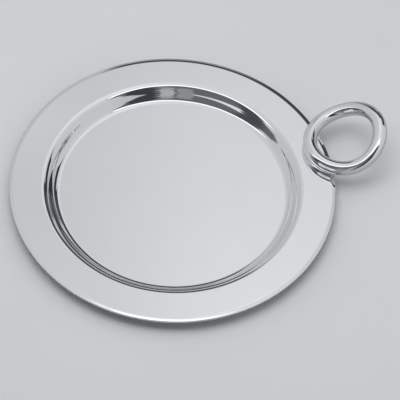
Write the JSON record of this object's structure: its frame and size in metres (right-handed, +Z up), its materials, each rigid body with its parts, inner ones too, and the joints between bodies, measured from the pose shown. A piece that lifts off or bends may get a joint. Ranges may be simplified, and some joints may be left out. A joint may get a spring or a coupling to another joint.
{
  "type": "paten plate",
  "caption": "Round mirror-polished metal plate with a shallow round well, a wide flat rim with a turned-down edge, and a bent ring handle soldered on the rim.",
  "frame": {"origin": "centre of the flat underside that the plate rests on", "axes": "+Z up, out of the well; +X from the plate's centre towards the ring handle"},
  "size_m": [0.1889, 0.16, 0.0256],
  "materials": {
    "dish_polish": "mirror polish, silver colour",
    "ring_polish": "mirror polish, silver colour",
    "ring_solder": "silver solder, left as it ran"
  },
  "bodies": {
    "root": {"dish": "dish_polish", "ring_handle": "ring_polish", "ring_solder_hole_side": "ring_solder", "ring_solder_well_side": "ring_solder"}
  },
  "joints": []
}
